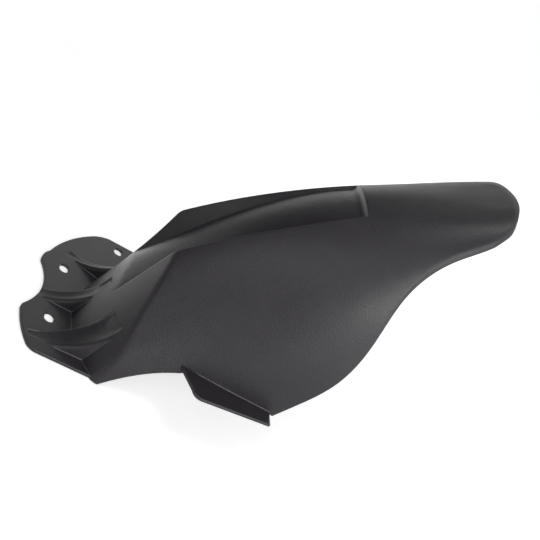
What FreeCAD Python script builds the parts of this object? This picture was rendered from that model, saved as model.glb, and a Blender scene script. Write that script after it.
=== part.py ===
import FreeCAD, Part
import math
import os

# Rear mudguard, moulded in one piece. X runs rearward along the mounting flange, Y across
# the wheel, Z up from the flange face. The origin is midway between the two front slots.

doc = FreeCAD.newDocument("rear_mudguard")
V = FreeCAD.Vector

SIZES = [
    # shell
    ("wall", 3.0),
    ("rake", 42.0),
    ("skirt_half", 112.0),
    ("skirt_height", 150.0),
    ("tail_length", 514.0),
    ("tail_radius", 98.0),
    ("tail_corner", 36.0),
    # front wall
    ("nose_x", 21.6),
    ("nose_radius", 147.0),
    ("nose_shift", 15.0),
    ("nose_round", 14.0),
    # channel between the ridges
    ("channel_end", 350.0),
    ("channel_crown", 7.0),
    ("channel_round", 9.0),
    # mounting flange
    ("flange_thick", 3.0),
    ("slot_spacing", 101.4),
    ("slot_width", 11.0),
    ("slot_length", 16.0),
    ("third_slot_x", 61.0),
    ("third_slot_y", 147.0),
    ("flange_near", 112.0),
    ("flange_far", 166.0),
    ("flange_front", 30.0),
    ("notch_depth", 13.0),
    # gusset darts
    ("dart_step", 0.8),
    ("dart_dish", 0.22),
    ("dart_round", 3.5),
    ("groove_depth", 1.5),
    # feet
    ("foot_rise", 57.7),
    ("foot_front", 132.0),
    ("foot_length", 109.0),
    ("foot_width", 36.5),
    ("foot_end_width", 24.0),
]

sheet = doc.addObject("Spreadsheet::Sheet", "Dimensions")
for row, (name, number) in enumerate(SIZES, start=1):
    sheet.set("A%d" % row, name)
    sheet.set("B%d" % row, str(number))
    sheet.setAlias("B%d" % row, name)
doc.recompute()
size = {name: float(sheet.get(name)) for name, number in SIZES}

wall = size["wall"]
rake = math.radians(size["rake"])


def on_guard(s, y, n):
    """Point s along the raked guard, y across it and n above its base line."""
    return V(s * math.cos(rake) - n * math.sin(rake), y, s * math.sin(rake) + n * math.cos(rake))


def feature(name, shape):
    item = doc.addObject("Part::Feature", name)
    item.Shape = shape
    return item


# Skin: an arched section, a crown arc running into two skirt arcs, that narrows to the tail.
# Each station holds its distance along the guard, the height and half-width of its ridge
# line, and the share of the full skirt width and skirt height that it has.
STATIONS = [
    (-40.0, 42.0, 46.0, 1.0, 1.0),
    (146.0, 55.0, 46.0, 1.0, 1.0),
    (270.0, 62.4, 43.6, 1.0, 1.0),
    (350.0, 60.2, 38.2, 0.93, 0.76),
    (430.0, 51.5, 34.0, 0.75, 0.42),
    (560.0, 31.0, 30.0, 0.61, 0.32),
]
SKIN_FLOOR = -210.0


def skin_section(station, inset):
    s, ridge, crest, width_share, height_share = station
    half = size["skirt_half"] * width_share
    drop = size["skirt_height"] * height_share
    step = half - crest
    radius = (step * step + drop * drop) / (2.0 * step)
    lean = math.atan2(radius - step, drop)
    crown = crest / math.sin(lean)
    side = V(half - radius, 0, ridge - drop)
    top = V(0, 0, ridge - crown * math.cos(lean))
    r_side = radius - inset
    r_top = crown - inset

    def on_side(angle):
        return (side.x + r_side * math.cos(angle), side.z + r_side * math.sin(angle))

    joint = math.pi / 2 - lean
    half_curve = [(side.x + r_side, SKIN_FLOOR), (side.x + r_side, (SKIN_FLOOR + side.z) / 2)]
    for share in (0.0, 0.25, 0.5, 0.75, 1.0):
        half_curve.append(on_side(share * joint))
    half_curve.append((r_top * math.sin(lean / 2), top.z + r_top * math.cos(lean / 2)))
    points = [on_guard(s, -y, n) for y, n in half_curve]
    points.append(on_guard(s, 0, top.z + r_top))
    points.extend(on_guard(s, y, n) for y, n in reversed(half_curve))
    arch_curve = Part.BSplineCurve()
    arch_curve.interpolate(points)
    return Part.Wire([arch_curve.toShape(), Part.makeLine(points[-1], points[0])])


def skin(name, inset):
    sections = []
    for index, station in enumerate(STATIONS):
        sections.append(feature("%sSection%d" % (name, index), skin_section(station, inset)))
    loft = doc.addObject("Part::Loft", name)
    loft.Sections = sections
    loft.Solid = True
    loft.Ruled = False
    return loft


skin_outer = skin("SkinOuter", 0.0)
skin_inner = skin("SkinInner", wall)


# Front wall: a nose, round in plan, that leans back and hollows a little as it rises.
# Each station holds a height above the flange, how far back the wall has gone there, and
# how much of the sideways shift of its foremost point it keeps.
NOSE = [
    (-60.0, -21.0, 1.0),
    (0.0, 0.0, 1.0),
    (79.0, 28.0, 0.5),
    (138.0, 43.0, 0.1),
    (560.0, 120.0, 0.0),
]


def nose_section(height, back, share, inset):
    radius = size["nose_radius"] - inset
    front = size["nose_x"] + back + inset
    centre = front + radius
    middle = -size["nose_shift"] * share
    left = middle - radius
    right = middle + radius
    rear = 700.0
    return Part.Wire([
        Part.Arc(V(centre, left, height), V(front, middle, height), V(centre, right, height)).toShape(),
        Part.makeLine(V(centre, right, height), V(rear, right, height)),
        Part.makeLine(V(rear, right, height), V(rear, left, height)),
        Part.makeLine(V(rear, left, height), V(centre, left, height)),
    ])


def nose(name, inset):
    sections = []
    for index, station in enumerate(NOSE):
        sections.append(feature("%sSection%d" % (name, index), nose_section(*station, inset)))
    loft = doc.addObject("Part::Loft", name)
    loft.Sections = sections
    loft.Solid = True
    loft.Ruled = False
    return loft


nose_outer = nose("NoseOuter", 0.0)
nose_inner = nose("NoseInner", wall)


def common(name, shapes):
    item = doc.addObject("Part::MultiCommon", name)
    item.Shapes = shapes
    return item


def fuse(name, shapes):
    item = doc.addObject("Part::MultiFuse", name)
    item.Shapes = shapes
    return item


def cut(name, base, tool):
    item = doc.addObject("Part::Cut", name)
    item.Base = base
    item.Tool = tool
    return item


def on_faces(edge, faces):
    """True where the whole edge lies on one or other of the faces."""
    first, last = edge.ParameterRange
    for share in (0.1, 0.5, 0.9):
        point = Part.Vertex(edge.valueAt(first + share * (last - first)))
        if min(face.distToShape(point)[0] for face in faces) > 0.02:
            return False
    return True


def rounded(name, base, radius, test):
    doc.recompute()
    item = doc.addObject("Part::Fillet", name)
    item.Base = base
    edges = []
    for index, edge in enumerate(base.Shape.Edges, start=1):
        if test(edge):
            edges.append((index, radius, radius))
    item.Edges = edges
    return item


# Body: the skin closed by the front wall, with the corner between them rounded.
def body(name, skin_solid, nose_solid, radius):
    joined = common(name + "Sharp", [skin_solid, nose_solid])
    doc.recompute()
    skin_sides = skin_solid.Shape.Faces
    front = [face for face in nose_solid.Shape.Faces if face.Surface.TypeId != "Part::GeomPlane"]
    front = [min(front, key=lambda face: face.CenterOfMass.x)]
    sides = [face for face in skin_sides if face.CenterOfMass.z > -20 or abs(face.CenterOfMass.y) > 60]

    def corner(edge):
        return edge.BoundBox.ZMin > -200 and on_faces(edge, front) and on_faces(edge, sides)

    return rounded(name, joined, radius, corner)


body_outer = body("BodyOuter", skin_outer, nose_outer, size["nose_round"])
body_inner = body("BodyInner", skin_inner, nose_inner, size["nose_round"] - wall)
doc.recompute()


# Channel: a trough with a crowned floor, deepest at the ridge corner, run out to the rear.
# Each station holds its distance along the guard, then half-width and height of the valley
# at the foot of each ridge, then half-width and height of the ridge edge.
CHANNEL = [
    (55.0, 38.0, 6.0, 46.0, 18.0),
    (146.0, 33.0, 34.5, 45.0, 55.5),
    (240.0, 36.0, 54.0, 43.6, 62.3),
    (350.0, 35.5, 56.5, 38.0, 61.0),
]
CHANNEL_OVER = 40.0


def channel_section(station, inset):
    s, valley, low, edge, high = station
    run = edge - valley
    rise = high - low
    length = math.hypot(run, rise)
    a = run / length
    b = rise / length
    k = inset * (a - 1.0) / b
    foot = (valley + inset * b + a * k, low - inset)
    lip = (foot[0] + a * (length + CHANNEL_OVER), foot[1] + b * (length + CHANNEL_OVER))
    crown = (0.0, foot[1] + size["channel_crown"])

    def put(point, sign):
        return on_guard(s, sign * point[0], point[1])

    edges = [
        Part.Arc(put(foot, -1), put(crown, 1), put(foot, 1)).toShape(),
        Part.makeLine(put(foot, 1), put(lip, 1)),
        Part.makeLine(put(lip, 1), put(lip, -1)),
        Part.makeLine(put(lip, -1), put(foot, -1)),
    ]
    return Part.Wire(edges)


def channel(name, inset):
    sections = []
    for index, station in enumerate(CHANNEL):
        placed = list(station)
        if index == len(CHANNEL) - 1:
            placed[0] = size["channel_end"] + inset
        sections.append(feature("%sSection%d" % (name, index), channel_section(placed, inset)))
    loft = doc.addObject("Part::Loft", name)
    loft.Sections = sections
    loft.Solid = True
    loft.Ruled = False
    return loft


def channel_round(name, base, end, radius):
    """The channel with the corner between its floor and its end rounded."""
    def corner(edge):
        first, last = edge.ParameterRange
        for share in (0.0, 0.5, 1.0):
            point = edge.valueAt(first + share * (last - first))
            along = point.x * math.cos(rake) + point.z * math.sin(rake)
            above = point.z * math.cos(rake) - point.x * math.sin(rake)
            if abs(along - end) > 0.1 or above > 68.0:
                return False
        return True

    return rounded(name, base, radius, corner)


channel_end = size["channel_end"]
end_round = size["channel_round"]
channel_void = channel_round("ChannelVoid", channel("ChannelVoidSharp", 0.0), channel_end, end_round)
channel_keep = channel_round("ChannelKeep", channel("ChannelKeepSharp", wall), channel_end + wall,
                             end_round + wall)
guard_outer = cut("GuardOuter", body_outer, channel_void)
guard_inner = cut("GuardInner", body_inner, channel_keep)

# Trim: the side outline of the guard, from the flange up past the feet to the tail.
thick = size["flange_thick"]
foot_under = size["foot_rise"] - thick
foot_back = size["foot_front"] + size["foot_length"]
top_front = V(-90, -250, 420)
front = V(-90, -250, -thick)
corner = V(67, -250, -thick)
arch = V(102, -250, 29)
arch_end = V(size["foot_front"] + 2, -250, foot_under - 6)
foot_start = V(size["foot_front"] + 10, -250, foot_under)
foot_end = V(foot_back + 6, -250, foot_under)
rear_points = [foot_end]
REAR_EDGE = [
    (252, -113), (290, -96), (334, -55), (371, -10.5), (424, 15), (465, 20.5), (484, 24.5), (502, 30),
    (530, 36),
]
for s, n in REAR_EDGE:
    rear_points.append(on_guard(s, -250, n))
rear = Part.BSplineCurve()
rear.interpolate(rear_points)
top_back = on_guard(560, -250, 260)
side_outline = Part.Wire([
    Part.makeLine(front, corner),
    Part.Arc(corner, arch, arch_end).toShape(),
    Part.makeLine(arch_end, foot_start),
    Part.makeLine(foot_start, foot_end),
    rear.toShape(),
    Part.makeLine(rear_points[-1], top_back),
    Part.makeLine(top_back, top_front),
    Part.makeLine(top_front, front),
])
side_face = feature("SideOutline", Part.Face(side_outline))
side_trim = doc.addObject("Part::Extrusion", "SideTrim")
side_trim.Base = side_face
side_trim.DirMode = "Custom"
side_trim.Dir = V(0, 1, 0)
side_trim.LengthFwd = 500.0
side_trim.Solid = True

# Tail end: a wide round across, tighter at its two corners, cut square to the guard.
tail = size["tail_length"]
half = size["tail_radius"]
tight = size["tail_corner"]
CORNER_FROM = math.asin(0.5)
CORNER_TO = math.radians(65.0)


def tail_point(s, y):
    return on_guard(s, y, -320.0)


def tail_corner(angle, sign):
    """Point on the corner round, at an angle off the line of the guard."""
    s = tail - half + (half - tight) * math.cos(CORNER_FROM) + tight * math.cos(angle)
    y = (half - tight) * math.sin(CORNER_FROM) + tight * math.sin(angle)
    return s, sign * y


def tail_side(sign):
    """The corner round and the line that leaves it toward the open side."""
    middle = (CORNER_FROM + CORNER_TO) / 2
    s, y = tail_corner(CORNER_TO, sign)
    run = 250.0 - abs(y)
    leave = tail_point(s - run * math.tan(CORNER_TO), sign * 250.0)
    bend = Part.Arc(*[tail_point(*tail_corner(angle, sign)) for angle in (CORNER_FROM, middle, CORNER_TO)])
    return bend.toShape(), Part.makeLine(tail_point(s, y), leave), leave


bend_near, line_near, leave_near = tail_side(-1)
bend_far, line_far, leave_far = tail_side(1)
start_near = tail_point(-320, -250)
start_far = tail_point(-320, 250)
end_arc = Part.Arc(tail_point(*tail_corner(CORNER_FROM, -1)), tail_point(tail, 0),
                   tail_point(*tail_corner(CORNER_FROM, 1)))
end_outline = Part.Wire(Part.__sortEdges__([
    Part.makeLine(start_far, start_near),
    Part.makeLine(start_near, leave_near),
    line_near,
    bend_near,
    end_arc.toShape(),
    bend_far,
    line_far,
    Part.makeLine(leave_far, start_far),
]))
end_face = feature("TailOutline", Part.Face(end_outline))
end_trim = doc.addObject("Part::Extrusion", "TailTrim")
end_trim.Base = end_face
end_trim.DirMode = "Custom"
end_trim.Dir = on_guard(0, 0, 1)
end_trim.LengthFwd = 640.0
end_trim.Solid = True

guard_trimmed = common("GuardTrimmed", [guard_outer, side_trim, end_trim])

# Flange: two rounded lobes about a notch, the far one drawn out to carry a third slot.
lead = size["flange_front"]
near = size["flange_near"]
far = size["flange_far"]
notch = lead - size["notch_depth"]
flange_edge = Part.Wire([
    Part.Arc(V(-lead + 2, 45, 0), V(-notch, 0, 0), V(-lead, -46, 0)).toShape(),
    Part.Arc(V(-lead, -46, 0), V(-lead - 2, -51, 0), V(-lead - 1.5, -58, 0)).toShape(),
    Part.Arc(V(-lead - 1.5, -58, 0), V(-lead + 4, -80, 0), V(-lead + 14, 9 - near, 0)).toShape(),
    Part.Arc(V(-lead + 14, 9 - near, 0), V(-lead + 19, 3 - near, 0), V(-lead + 27, -near, 0)).toShape(),
    Part.makeLine(V(-lead + 27, -near, 0), V(67, -near, 0)),
    Part.makeLine(V(67, -near, 0), V(92, 112, 0)),
    Part.makeLine(V(92, 112, 0), V(98, far - 12, 0)),
    Part.Arc(V(98, far - 12, 0), V(95, far - 4, 0), V(87, far, 0)).toShape(),
    Part.makeLine(V(87, far, 0), V(46, far, 0)),
    Part.Arc(V(46, far, 0), V(34, far - 5, 0), V(23, far - 14, 0)).toShape(),
    Part.Arc(V(23, far - 14, 0), V(-3, far - 49, 0), V(-lead + 8, 72, 0)).toShape(),
    Part.Arc(V(-lead + 8, 72, 0), V(-lead + 2, 58, 0), V(-lead + 2, 45, 0)).toShape(),
])
flange_face = feature("FlangeOutline", Part.Face(flange_edge))
flange_plate = doc.addObject("Part::Extrusion", "FlangePlate")
flange_plate.Base = flange_face
flange_plate.DirMode = "Custom"
flange_plate.Dir = V(0, 0, -1)
flange_plate.setExpression("LengthFwd", "Dimensions.flange_thick")
flange_plate.Solid = True


# Darts: hollow wedges that tie the flange to the front wall. Each row holds the place of a
# dart across the wall, its turn in plan, half its width at the wall, the taper of each side
# in plan, the radius of its rims and its length.
DARTS = [
    ("DartNear", -78.5, 10.5, 16.0, 9.0, 78.0, 53.5),
    ("DartMiddle", -11.5, 3.5, 12.5, 4.5, 73.0, 50.0),
    ("DartFar", 71.0, -17.0, 9.5, 2.0, 80.0, 53.0),
]
DART_SWEEP = 75.0
DRAFT = math.tan(math.radians(4.5))


def nose_at(y):
    radius = size["nose_radius"]
    off = y + size["nose_shift"]
    return size["nose_x"] + radius - math.sqrt(radius * radius - off * off)


def nose_turn(y):
    """Turn in plan of a line square to the front wall."""
    return -math.degrees(math.asin((y + size["nose_shift"]) / size["nose_radius"]))


def dart_place(shape, row):
    shape.rotate(V(0, 0, 0), V(0, 0, 1), row[2])
    shape.translate(V(nose_at(row[1]), row[1], 0))
    return shape


def dart_wedge(row, inset):
    """Column with drafted sides that holds the plan of a dart."""
    half = row[3] - inset
    slope = math.tan(math.radians(row[4]))

    def plan(level):
        front = -row[6] - 1.0
        rear = 60.0
        shrink = half - DRAFT * level
        corners = [
            V(front, -shrink - front * slope, level),
            V(rear, -shrink - rear * slope, level),
            V(rear, shrink + rear * slope, level),
            V(front, shrink + front * slope, level),
        ]
        return Part.makePolygon(corners + corners[:1])

    return Part.makeLoft([plan(-40.0), plan(52.0)], True, True)


def dart_ring(row, inset, depth, sweep):
    """Band about the crest axis, from the dished crest line to a depth off it, set along the wall."""
    radius = row[5]
    back = -row[6]
    axis = radius + size["dart_step"]
    dish = size["dart_dish"] * row[3]
    top = axis - radius - dish - inset
    wide = row[3] + 12.0
    lip = dish * (wide / row[3]) ** 2
    far_side = top + depth
    profile = Part.Wire([
        Part.Arc(V(back, -wide, top + lip), V(back, 0, top), V(back, wide, top + lip)).toShape(),
        Part.makeLine(V(back, wide, top + lip), V(back, wide, far_side)),
        Part.makeLine(V(back, wide, far_side), V(back, -wide, far_side)),
        Part.makeLine(V(back, -wide, far_side), V(back, -wide, top + lip)),
    ])
    along = FreeCAD.Matrix()
    along.A12 = -math.tan(math.radians(nose_turn(row[1]) - row[2]))
    return Part.Face(profile).revolve(V(back, 0, axis), V(0, 1, 0), -sweep).transformGeometry(along)


def dart(row, suffix, inset):
    ring = dart_ring(row, inset, -90.0, DART_SWEEP)
    solid = ring.common(dart_wedge(row, inset)).Solids[0]
    radius = row[5] + size["dart_dish"] * row[3] + inset
    axis = row[5] + size["dart_step"]
    on_crest = Part.Vertex(V(radius / 2 - row[6], 0, axis - radius * math.cos(math.pi / 6)))
    crest = [face for face in ring.Faces if face.distToShape(on_crest)[0] < 0.01]
    rims = [edge for edge in solid.Edges if edge.Length > 40 and on_faces(edge, crest)]
    solid = solid.makeFillet(size["dart_round"] - inset, rims)
    return feature(row[0] + suffix, dart_place(solid, row))


flange_column = doc.addObject("Part::Extrusion", "FlangeColumn")
flange_column.Base = flange_face
flange_column.DirMode = "Custom"
flange_column.Dir = V(0, 0, 1)
flange_column.LengthFwd = 200.0
flange_column.setExpression("LengthRev", "Dimensions.flange_thick")
flange_column.Solid = True
dart_solid = fuse("DartSolid", [dart(row, "Outer", 0.0) for row in DARTS])
dart_above = common("DartAbove", [dart_solid, flange_column])
dart_hollow = fuse("DartHollow", [dart(row, "Inner", wall) for row in DARTS])


def groove(row):
    """The dished crest carried a little way into the flange at its tip and into the wall at its end."""
    air = dart_ring(row, -0.2, 20.0, DART_SWEEP).common(dart_wedge(row, size["dart_round"]))
    return feature(row[0] + "Groove", dart_place(air, row))


groove_air = fuse("GrooveAir", [groove(row) for row in DARTS])
groove_column = doc.addObject("Part::Extrusion", "GrooveColumn")
groove_column.Base = flange_face
groove_column.DirMode = "Custom"
groove_column.Dir = V(0, 0, 1)
groove_column.LengthFwd = 200.0
groove_column.setExpression("LengthRev", "Dimensions.groove_depth")
groove_column.Solid = True
groove_open = common("GrooveOpen", [groove_air, groove_column])
groove_cut = cut("GrooveCut", groove_open, nose("NoseGroove", size["groove_depth"]))


# Feet: flat pads turned out from the foot of each skirt, level with the flange face.
def foot(name, sign):
    inner = size["skirt_half"] - 3.0
    x0 = size["foot_front"]
    x1 = foot_back
    w0 = inner + size["foot_width"]
    w1 = inner + size["foot_end_width"]
    bend = 10.0
    level = size["foot_rise"]
    outline = Part.Wire([
        Part.makeLine(V(x0, sign * inner, level), V(x0 + 14, sign * (w0 - bend), level)),
        Part.Arc(V(x0 + 14, sign * (w0 - bend), level), V(x0 + 18, sign * (w0 - 3), level),
                 V(x0 + 25, sign * (w0 - 1), level)).toShape(),
        Part.makeLine(V(x0 + 25, sign * (w0 - 1), level), V(x1, sign * w1, level)),
        Part.makeLine(V(x1, sign * w1, level), V(x1, sign * inner, level)),
        Part.makeLine(V(x1, sign * inner, level), V(x0, sign * inner, level)),
    ])
    face = feature(name + "Outline", Part.Face(outline))
    pad = doc.addObject("Part::Extrusion", name)
    pad.Base = face
    pad.DirMode = "Custom"
    pad.Dir = V(0, 0, -1)
    pad.setExpression("LengthFwd", "Dimensions.flange_thick")
    pad.Solid = True
    return pad


foot_near = foot("FootNear", -1)
foot_far = foot("FootFar", 1)


# Slots: round-ended, long across the guard.
def slot(name, x, y):
    width = size["slot_width"]
    reach = (size["slot_length"] - width) / 2.0
    radius = width / 2.0
    level = -30.0
    outline = Part.Wire([
        Part.makeLine(V(x + radius, y - reach, level), V(x + radius, y + reach, level)),
        Part.Arc(V(x + radius, y + reach, level), V(x, y + reach + radius, level),
                 V(x - radius, y + reach, level)).toShape(),
        Part.makeLine(V(x - radius, y + reach, level), V(x - radius, y - reach, level)),
        Part.Arc(V(x - radius, y - reach, level), V(x, y - reach - radius, level),
                 V(x + radius, y - reach, level)).toShape(),
    ])
    face = feature(name + "Outline", Part.Face(outline))
    punch = doc.addObject("Part::Extrusion", name)
    punch.Base = face
    punch.DirMode = "Custom"
    punch.Dir = V(0, 0, 1)
    punch.LengthFwd = 60.0
    punch.Solid = True
    return punch


slots = [
    slot("SlotNear", 0.0, -size["slot_spacing"] / 2),
    slot("SlotFar", 0.0, size["slot_spacing"] / 2),
    slot("SlotThird", size["third_slot_x"], size["third_slot_y"]),
]

solid = fuse("MouldSolid", [guard_trimmed, flange_plate, dart_above, foot_near, foot_far])
hollow = fuse("MouldHollow", [guard_inner, dart_hollow, groove_cut] + slots)
mudguard = cut("Mudguard", solid, hollow)
doc.recompute()

for item in doc.Objects:
    if "Invalid" in item.State or "Error" in item.State:
        raise RuntimeError("%s did not build" % item.Name)
    if hasattr(item, "Shape"):
        if item.Shape.isNull() or not item.Shape.isValid():
            raise RuntimeError("%s has a broken shape" % item.Name)

os.makedirs("parts", exist_ok=True)
mudguard.Shape.exportStep("parts/mudguard.step")
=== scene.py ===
import math

import bmesh
import bpy
from mathutils import Matrix, Vector


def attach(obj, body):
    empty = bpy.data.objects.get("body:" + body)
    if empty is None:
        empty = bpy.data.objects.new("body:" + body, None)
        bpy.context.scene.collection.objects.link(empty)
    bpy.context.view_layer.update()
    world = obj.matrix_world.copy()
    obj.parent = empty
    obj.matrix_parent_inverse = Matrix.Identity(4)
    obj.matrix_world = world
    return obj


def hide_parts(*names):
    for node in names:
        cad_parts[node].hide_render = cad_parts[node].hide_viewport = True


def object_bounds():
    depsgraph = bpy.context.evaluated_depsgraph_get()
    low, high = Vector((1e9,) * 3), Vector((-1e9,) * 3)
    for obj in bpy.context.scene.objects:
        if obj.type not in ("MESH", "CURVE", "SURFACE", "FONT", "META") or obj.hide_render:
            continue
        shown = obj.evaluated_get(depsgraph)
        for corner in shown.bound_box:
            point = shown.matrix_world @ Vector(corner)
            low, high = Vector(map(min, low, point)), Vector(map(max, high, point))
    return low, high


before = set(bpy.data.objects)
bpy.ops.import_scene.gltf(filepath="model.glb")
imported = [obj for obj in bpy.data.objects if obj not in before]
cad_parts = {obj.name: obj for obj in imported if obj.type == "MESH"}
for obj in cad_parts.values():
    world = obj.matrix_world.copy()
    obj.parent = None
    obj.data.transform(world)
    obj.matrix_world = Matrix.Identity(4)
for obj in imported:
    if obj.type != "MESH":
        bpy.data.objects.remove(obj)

cad_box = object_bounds()

# Shell: the whole mudguard is one injection moulding in black plastic, about 3 mm thick, with
# flange, darts, ridges, skirts and feet in one piece. The mould leaves a fine grain all over it,
# and its edges are a little round, with a painted highlight along them. Bolts through the flange
# hold it on the swingarm.
MERGE_REACH = 1e-6
CREASE_ANGLE = math.radians(28)
RAKE = math.radians(42)
TAIL_SPAN = (0.34, 0.41)
EDGE_ROUND = 0.0026
REAR_ROUND = 0.011
ROUND_SAMPLES = 16
# Painted highlight on edges: how far the rounded normal turns before it starts and where it is full.
EDGE_HIGHLIGHT_SPAN = (0.99, 0.80)
GRAIN_SIZE = 0.0011
GRAIN_DEPTH = 0.0003
GRAIN_STRENGTH = 0.5
PORE_SMOOTHNESS = 0.6
GRIT_DETAIL = 3.0
MOTTLE_SIZE = 0.045
MOTTLE_DETAIL = 4.0
MOTTLE_ROUGHNESS = 0.6
MOTTLE_SPAN = (0.3, 0.7)
SHEEN_ROUGHNESS = (0.33, 0.40)
DEEP_BLACK = (0.0205, 0.0182, 0.0212, 1.0)
SOFT_BLACK = (0.0310, 0.0276, 0.0318, 1.0)
# The lighter grey of the painted highlight along edges.
EDGE_HIGHLIGHT_GREY = (0.10, 0.096, 0.101, 1.0)
PLASTIC_IOR = 1.5

shell_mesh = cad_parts["mudguard"].data.copy()
shell_mesh.materials.clear()
shell = bpy.data.objects.new("mudguard_shell", shell_mesh)
bpy.context.scene.collection.objects.link(shell)

moulding = bmesh.new()
moulding.from_mesh(shell_mesh)
bmesh.ops.remove_doubles(moulding, verts=moulding.verts, dist=MERGE_REACH)
for facet in moulding.faces:
    facet.smooth = True
for edge in moulding.edges:
    edge.smooth = len(edge.link_faces) == 2 and edge.calc_face_angle() < CREASE_ANGLE
moulding.to_mesh(shell_mesh)
moulding.free()
flat_first = shell.modifiers.new("flat_first", "WEIGHTED_NORMAL")
flat_first.mode = "FACE_AREA"
flat_first.keep_sharp = True


def texture_of_size(tree, kind, place, size):
    """Adds a texture at the place socket, with features about as wide as the size socket says."""
    repeat = tree.nodes.new("ShaderNodeMath")
    repeat.operation = "DIVIDE"
    repeat.inputs[0].default_value = 1.0
    tree.links.new(size, repeat.inputs[1])
    texture = tree.nodes.new(kind)
    tree.links.new(place, texture.inputs["Vector"])
    tree.links.new(repeat.outputs[0], texture.inputs["Scale"])
    return texture


def joined(tree, operation, first, second):
    """Adds a Math node on two sockets and returns its result."""
    node = tree.nodes.new("ShaderNodeMath")
    node.operation = operation
    tree.links.new(first, node.inputs[0])
    tree.links.new(second, node.inputs[1])
    return node.outputs[0]


def reach_along(tree, place, direction):
    """Adds a dot product: how far the place socket lies along a direction."""
    node = tree.nodes.new("ShaderNodeVectorMath")
    node.operation = "DOT_PRODUCT"
    node.inputs[1].default_value = direction
    tree.links.new(place, node.inputs[0])
    return node.outputs["Value"]


def graded(tree, value, span, levels=(0.0, 1.0)):
    """Adds a Map Range node: over its span, the value socket goes from one level to the other."""
    node = tree.nodes.new("ShaderNodeMapRange")
    node.inputs["From Min"].default_value = span[0]
    node.inputs["From Max"].default_value = span[1]
    node.inputs["To Min"].default_value = levels[0]
    node.inputs["To Max"].default_value = levels[1]
    tree.links.new(value, node.inputs["Value"])
    return node.outputs["Result"]


def mould_grain():
    """Node group: the fine grain that the mould leaves, and the slight mottle of its sheen."""
    group = bpy.data.node_groups.new("mould_grain", "ShaderNodeTree")
    for name in ("Grain Size", "Mottle Size"):
        group.interface.new_socket(name, in_out="INPUT", socket_type="NodeSocketFloat")
    for name in ("Height", "Mottle"):
        group.interface.new_socket(name, in_out="OUTPUT", socket_type="NodeSocketFloat")
    sizes = group.nodes.new("NodeGroupInput")
    results = group.nodes.new("NodeGroupOutput")
    place = group.nodes.new("ShaderNodeTexCoord").outputs["Object"]
    pores = texture_of_size(group, "ShaderNodeTexVoronoi", place, sizes.outputs["Grain Size"])
    pores.feature = "SMOOTH_F1"
    pores.inputs["Smoothness"].default_value = PORE_SMOOTHNESS
    grit = texture_of_size(group, "ShaderNodeTexNoise", place, sizes.outputs["Grain Size"])
    grit.inputs["Detail"].default_value = GRIT_DETAIL
    height = joined(group, "ADD", pores.outputs["Distance"], grit.outputs["Fac"])
    group.links.new(height, results.inputs["Height"])
    mottle = texture_of_size(group, "ShaderNodeTexNoise", place, sizes.outputs["Mottle Size"])
    mottle.inputs["Detail"].default_value = MOTTLE_DETAIL
    mottle.inputs["Roughness"].default_value = MOTTLE_ROUGHNESS
    group.links.new(mottle.outputs["Fac"], results.inputs["Mottle"])
    return group


black_plastic = bpy.data.materials.new("grained_black_plastic")
black_plastic.use_nodes = True
tree = black_plastic.node_tree
plastic = tree.nodes["Principled BSDF"]
plastic.inputs["IOR"].default_value = PLASTIC_IOR
grain = tree.nodes.new("ShaderNodeGroup")
grain.node_tree = mould_grain()
grain.inputs["Grain Size"].default_value = GRAIN_SIZE
grain.inputs["Mottle Size"].default_value = MOTTLE_SIZE
sheen = graded(tree, grain.outputs["Mottle"], MOTTLE_SPAN, SHEEN_ROUGHNESS)
tree.links.new(sheen, plastic.inputs["Roughness"])

# The edges are round by shading: a little all over, and more along the rolled-over tail.
place = tree.nodes.new("ShaderNodeTexCoord").outputs["Object"]
to_tail = reach_along(tree, place, (math.cos(RAKE), 0.0, math.sin(RAKE)))
rounding = graded(tree, to_tail, TAIL_SPAN, (EDGE_ROUND, REAR_ROUND))
corner = tree.nodes.new("ShaderNodeBevel")
corner.samples = ROUND_SAMPLES
tree.links.new(rounding, corner.inputs["Radius"])
relief = tree.nodes.new("ShaderNodeBump")
relief.inputs["Strength"].default_value = GRAIN_STRENGTH
relief.inputs["Distance"].default_value = GRAIN_DEPTH
tree.links.new(grain.outputs["Height"], relief.inputs["Height"])
tree.links.new(corner.outputs["Normal"], relief.inputs["Normal"])
tree.links.new(relief.outputs["Normal"], plastic.inputs["Normal"])

# The colour is mottled at random. It is also given a painted highlight: it goes to a lighter grey where an
# edge, convex or concave, turns the normal.
surface = tree.nodes.new("ShaderNodeNewGeometry")
turn = tree.nodes.new("ShaderNodeVectorMath")
turn.operation = "DOT_PRODUCT"
tree.links.new(corner.outputs["Normal"], turn.inputs[0])
tree.links.new(surface.outputs["Normal"], turn.inputs[1])
tone = tree.nodes.new("ShaderNodeMix")
tone.data_type = "RGBA"
tone.inputs["A"].default_value = DEEP_BLACK
tone.inputs["B"].default_value = SOFT_BLACK
tree.links.new(grain.outputs["Mottle"], tone.inputs["Factor"])
# Painted highlight: edges are mixed towards a lighter grey.
edge_highlight = tree.nodes.new("ShaderNodeMix")
edge_highlight.data_type = "RGBA"
edge_highlight.inputs["B"].default_value = EDGE_HIGHLIGHT_GREY
tree.links.new(graded(tree, turn.outputs["Value"], EDGE_HIGHLIGHT_SPAN), edge_highlight.inputs["Factor"])
tree.links.new(tone.outputs["Result"], edge_highlight.inputs["A"])
tree.links.new(edge_highlight.outputs["Result"], plastic.inputs["Base Color"])

shell_mesh.materials.append(black_plastic)
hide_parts("mudguard")
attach(shell, "root")

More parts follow.
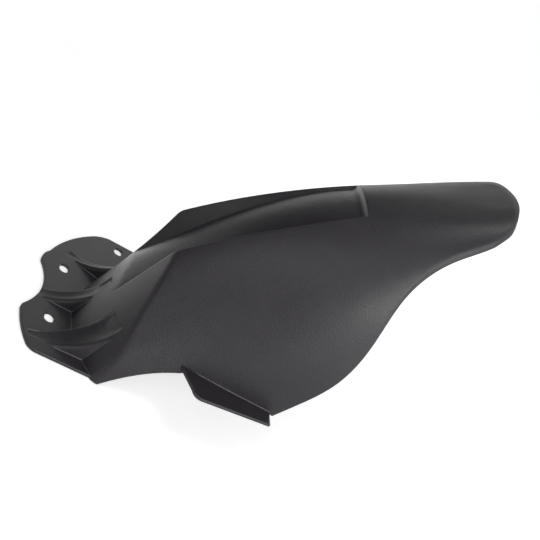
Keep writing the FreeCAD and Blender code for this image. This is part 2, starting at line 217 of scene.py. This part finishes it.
# Floor: a plain white sweep just under the part. The camera sees it as white as the backdrop,
# with the part's soft shadow on it. In the sheen of the plastic it is dim towards the camera
# and bright behind the part and beyond its tail.
FLOOR_GAP = 0.001
FLOOR_LEVEL = cad_box[0][2] - FLOOR_GAP
FLOOR_HALF = 6.0
PAPER_WHITE = (0.82, 0.82, 0.82, 1.0)
PAPER_ROUGHNESS = 0.9
PURE_WHITE = (1.0, 1.0, 1.0, 1.0)
SHADOW_REACH = (0.8, 2.0)
SEEN_GLOW = (0.58, 1.0)
BEHIND_SPAN = (-0.1, 0.3)
BEYOND_SPAN = (0.4, 0.7)
SHEEN_GLOW = (0.2, 1.0)


def seen_straight(tree):
    """Adds a mask: 1 for what the camera sees straight or through glass, and 0 for other light."""
    rays = tree.nodes.new("ShaderNodeLightPath")
    return joined(tree, "MAXIMUM", rays.outputs["Is Camera Ray"], rays.outputs["Is Transmission Ray"])


floor_mesh = bpy.data.meshes.new("floor")
floor_mesh.from_pydata(
    [(-FLOOR_HALF, -FLOOR_HALF, FLOOR_LEVEL), (FLOOR_HALF, -FLOOR_HALF, FLOOR_LEVEL),
     (FLOOR_HALF, FLOOR_HALF, FLOOR_LEVEL), (-FLOOR_HALF, FLOOR_HALF, FLOOR_LEVEL)],
    [], [(0, 1, 2, 3)])
floor = bpy.data.objects.new("floor", floor_mesh)
bpy.context.scene.collection.objects.link(floor)
white_sweep = bpy.data.materials.new("white_sweep")
white_sweep.use_nodes = True
tree = white_sweep.node_tree
paper = tree.nodes["Principled BSDF"]
paper.inputs["Base Color"].default_value = PAPER_WHITE
paper.inputs["Roughness"].default_value = PAPER_ROUGHNESS
paper.inputs["Specular IOR Level"].default_value = 0.0
paper.inputs["Emission Color"].default_value = PURE_WHITE
place = tree.nodes.new("ShaderNodeTexCoord").outputs["Object"]
away = tree.nodes.new("ShaderNodeVectorMath")
away.operation = "LENGTH"
tree.links.new(place, away.inputs[0])
whitened = graded(tree, away.outputs["Value"], SHADOW_REACH, SEEN_GLOW)
seen = joined(tree, "MULTIPLY", seen_straight(tree), whitened)
apart = tree.nodes.new("ShaderNodeSeparateXYZ")
tree.links.new(place, apart.inputs["Vector"])
behind = graded(tree, apart.outputs["Y"], BEHIND_SPAN, SHEEN_GLOW)
beyond = graded(tree, apart.outputs["X"], BEYOND_SPAN, SHEEN_GLOW)
rays = tree.nodes.new("ShaderNodeLightPath")
mirrored = joined(tree, "MULTIPLY", rays.outputs["Is Glossy Ray"], joined(tree, "MAXIMUM", behind, beyond))
tree.links.new(joined(tree, "ADD", seen, mirrored), paper.inputs["Emission Strength"])
floor_mesh.materials.append(white_sweep)

# Backdrop: plain white to the camera. As light it is a dim studio, white only behind the part,
# so that the sides towards the camera stay dark and the far edges catch a little light. To the
# upper left it is darker still, after the shading in the photograph.
VIEW_AZIMUTH = math.radians(-111.78)
VIEW_ELEVATION = math.radians(23.07)
TOWARD_CAMERA = Vector((math.cos(VIEW_ELEVATION) * math.cos(VIEW_AZIMUTH),
                        math.cos(VIEW_ELEVATION) * math.sin(VIEW_AZIMUTH),
                        math.sin(VIEW_ELEVATION)))
FACING_SPAN = (-0.95, -0.4)
ROOM_LEVEL = 0.34
UPPER_LEFT = Vector((-0.75, 0.1, 0.65))
SHADED_SPAN = (0.4, 0.9)
SHADED_LEVEL = 0.2
studio = bpy.data.worlds.new("studio")
bpy.context.scene.world = studio
studio.use_nodes = True
tree = studio.node_tree
backdrop = tree.nodes["Background"]
backdrop.inputs["Color"].default_value = PURE_WHITE
direction = tree.nodes.new("ShaderNodeTexCoord").outputs["Generated"]
level = graded(tree, reach_along(tree, direction, TOWARD_CAMERA), FACING_SPAN, (1.0, ROOM_LEVEL))
shade = graded(tree, reach_along(tree, direction, UPPER_LEFT), SHADED_SPAN, (1.0, SHADED_LEVEL))
strength = tree.nodes.new("ShaderNodeMix")
strength.data_type = "FLOAT"
strength.inputs["B"].default_value = 1.0
tree.links.new(seen_straight(tree), strength.inputs["Factor"])
tree.links.new(joined(tree, "MULTIPLY", level, shade), strength.inputs["A"])
tree.links.new(strength.outputs["Result"], backdrop.inputs["Strength"])

# Lamps: soft boxes all round, aimed at the middle of the part. The strongest stands low on the
# right, where it lays the sheen along the rear of the skirt, and those behind light the far edges.
AIM = Vector((0.15, 0.0, 0.15))
BOX_DISTANCE = 1.5
BOX_SIZE = 0.55


def soft_box(name, toward, power):
    """Adds a square lamp on the side of the part that toward gives, with its power in watts."""
    lamp = bpy.data.lights.new(name, "AREA")
    lamp.shape = "SQUARE"
    lamp.size = BOX_SIZE
    lamp.energy = power
    box = bpy.data.objects.new(name, lamp)
    toward = Vector(toward).normalized()
    box.location = AIM + BOX_DISTANCE * toward
    box.rotation_euler = (-toward).to_track_quat("-Z", "Y").to_euler()
    bpy.context.scene.collection.objects.link(box)


soft_box("key_low_right", (0.4, -0.9, 0.25), 7.0)
soft_box("fill_front", (0.1, -0.9, 0.35), 2.0)
soft_box("fill_left", (-0.45, -0.7, 0.55), 2.2)
soft_box("top", (0.0, -0.2, 1.0), 4.0)
soft_box("top_far", (-0.1, 0.4, 0.9), 0.6)
soft_box("rim_behind", (0.0, 0.9, 0.4), 0.4)
soft_box("rim_left", (-0.85, 0.5, 0.15), 1.2)
soft_box("far_side", (0.75, 0.6, 0.25), 4.0)

# Camera: at the photograph's angle, and rolled because the part lies there pitched forward,
# with its flange tilted and its long back nearly level.
LOOK_AT = Vector((0.1853, 0.0018, 0.1515))
CAMERA_DISTANCE = 0.9
CAMERA_ROLL = math.radians(38.48)
SENSOR_WIDTH = 36.0
FOCAL_LENGTH = 53.33
lens = bpy.data.cameras.new("camera")
lens.sensor_width = SENSOR_WIDTH
lens.lens = FOCAL_LENGTH
camera = bpy.data.objects.new("camera", lens)
upright = TOWARD_CAMERA.to_track_quat("Z", "Y").to_matrix()
pose = (upright @ Matrix.Rotation(CAMERA_ROLL, 3, "Z")).to_4x4()
pose.translation = LOOK_AT + CAMERA_DISTANCE * TOWARD_CAMERA
camera.matrix_world = pose
bpy.context.scene.collection.objects.link(camera)
bpy.context.scene.camera = camera
bpy.context.scene.view_settings.view_transform = "Standard"
